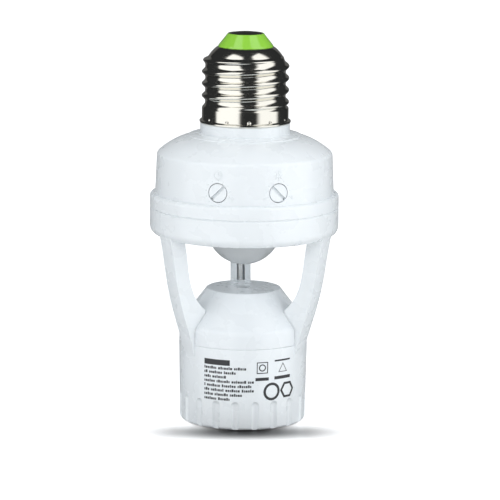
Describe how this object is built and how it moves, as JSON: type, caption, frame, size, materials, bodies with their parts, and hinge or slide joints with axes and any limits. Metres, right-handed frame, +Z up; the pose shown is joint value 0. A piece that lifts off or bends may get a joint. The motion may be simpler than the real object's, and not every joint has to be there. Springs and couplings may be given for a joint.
{
  "type": "motion sensor lamp holder",
  "caption": "Screw-in adapter with a dome housing, motion sensor lens, adjuster knobs and an open arm frame that carries a threaded lamp socket.",
  "frame": {"origin": "middle of the foot of the lamp collar, on the plane it stands on", "axes": "+Z up along the lamp axis towards the screw cap, -Y towards the side with the two adjuster knobs"},
  "size_m": [0.0572, 0.0572, 0.1186],
  "materials": {
    "nickel_shell": "bright nickel plate, rolled",
    "green_glass": "glossy opaque lime green vitrified insulator",
    "contact_metal": "soldered contact disc, slightly dull",
    "white_case": "cool white moulded plastic, semi-gloss",
    "white_frame": "cool white moulded plastic, semi-gloss",
    "white_cover": "cool white moulded plastic, semi-gloss",
    "knob_plastic": "cool white moulded plastic, semi-gloss",
    "trimmer_blue": "blue trimmer body",
    "board_green": "green solder mask",
    "relay_black": "black relay case",
    "film_yellow": "yellow film capacitor case",
    "can_sleeve": "dark blue sleeve",
    "chip_black": "black epoxy",
    "resistor_green": "green lacquer",
    "spacer_white": "plain white plastic",
    "sensor_can": "plated can with a dark window",
    "photocell_red": "lacquered light cell",
    "lens_milky": "milky polyethylene lens",
    "screw_steel": "zinc plated",
    "insulator_white": "heat resistant insulating body",
    "socket_nickel": "nickel plated shell",
    "spring_brass": "spring brass",
    "rivet_brass": "brass rivet",
    "wire_white": "white insulated wire",
    "wire_red": "red insulated wire",
    "wire_black": "black insulated wire"
  },
  "bodies": {
    "housing": {"cap_shell": "nickel_shell", "cap_insulator": "green_glass", "cap_contact": "contact_metal", "upper_housing": "white_case", "time_trimmer": "trimmer_blue", "lux_trimmer": "trimmer_blue", "circuit_board": "board_green", "relay": "relay_black", "dropper_capacitor": "film_yellow", "smoothing_capacitor": "can_sleeve", "control_chip": "chip_black", "rectifier": "chip_black", "fuse_resistor": "resistor_green", "sensor_spacer": "spacer_white", "pir_sensor": "sensor_can", "photocell": "photocell_red", "lens_dome": "lens_milky", "lens_retainer": "spacer_white", "arm_frame": "white_frame", "board_screws": "screw_steel", "socket_cover": "white_cover", "cover_screw": "screw_steel", "socket_insert": "insulator_white", "socket_shell": "socket_nickel", "socket_contact": "spring_brass", "live_rivet": "rivet_brass", "neutral_rivet": "rivet_brass", "shell_strap": "spring_brass", "lamp_live_wire": "wire_white", "lamp_neutral_wire": "wire_white", "cap_live_wire": "wire_red", "cap_neutral_wire": "wire_black"},
    "time_adjuster": {"time_knob": "knob_plastic"},
    "lux_adjuster": {"lux_knob": "knob_plastic"}
  },
  "joints": [
    {"name": "time_turn", "type": "hinge", "parent": "housing", "child": "time_adjuster", "pos_m": [-0.00896, -0.02515, 0.0736], "axis": [-0.3355, -0.9421, 0], "range_deg": [-135, 135]},
    {"name": "lux_turn", "type": "hinge", "parent": "housing", "child": "lux_adjuster", "pos_m": [0.00896, -0.02515, 0.0736], "axis": [0.3355, -0.9421, 0], "range_deg": [-135, 135]}
  ]
}
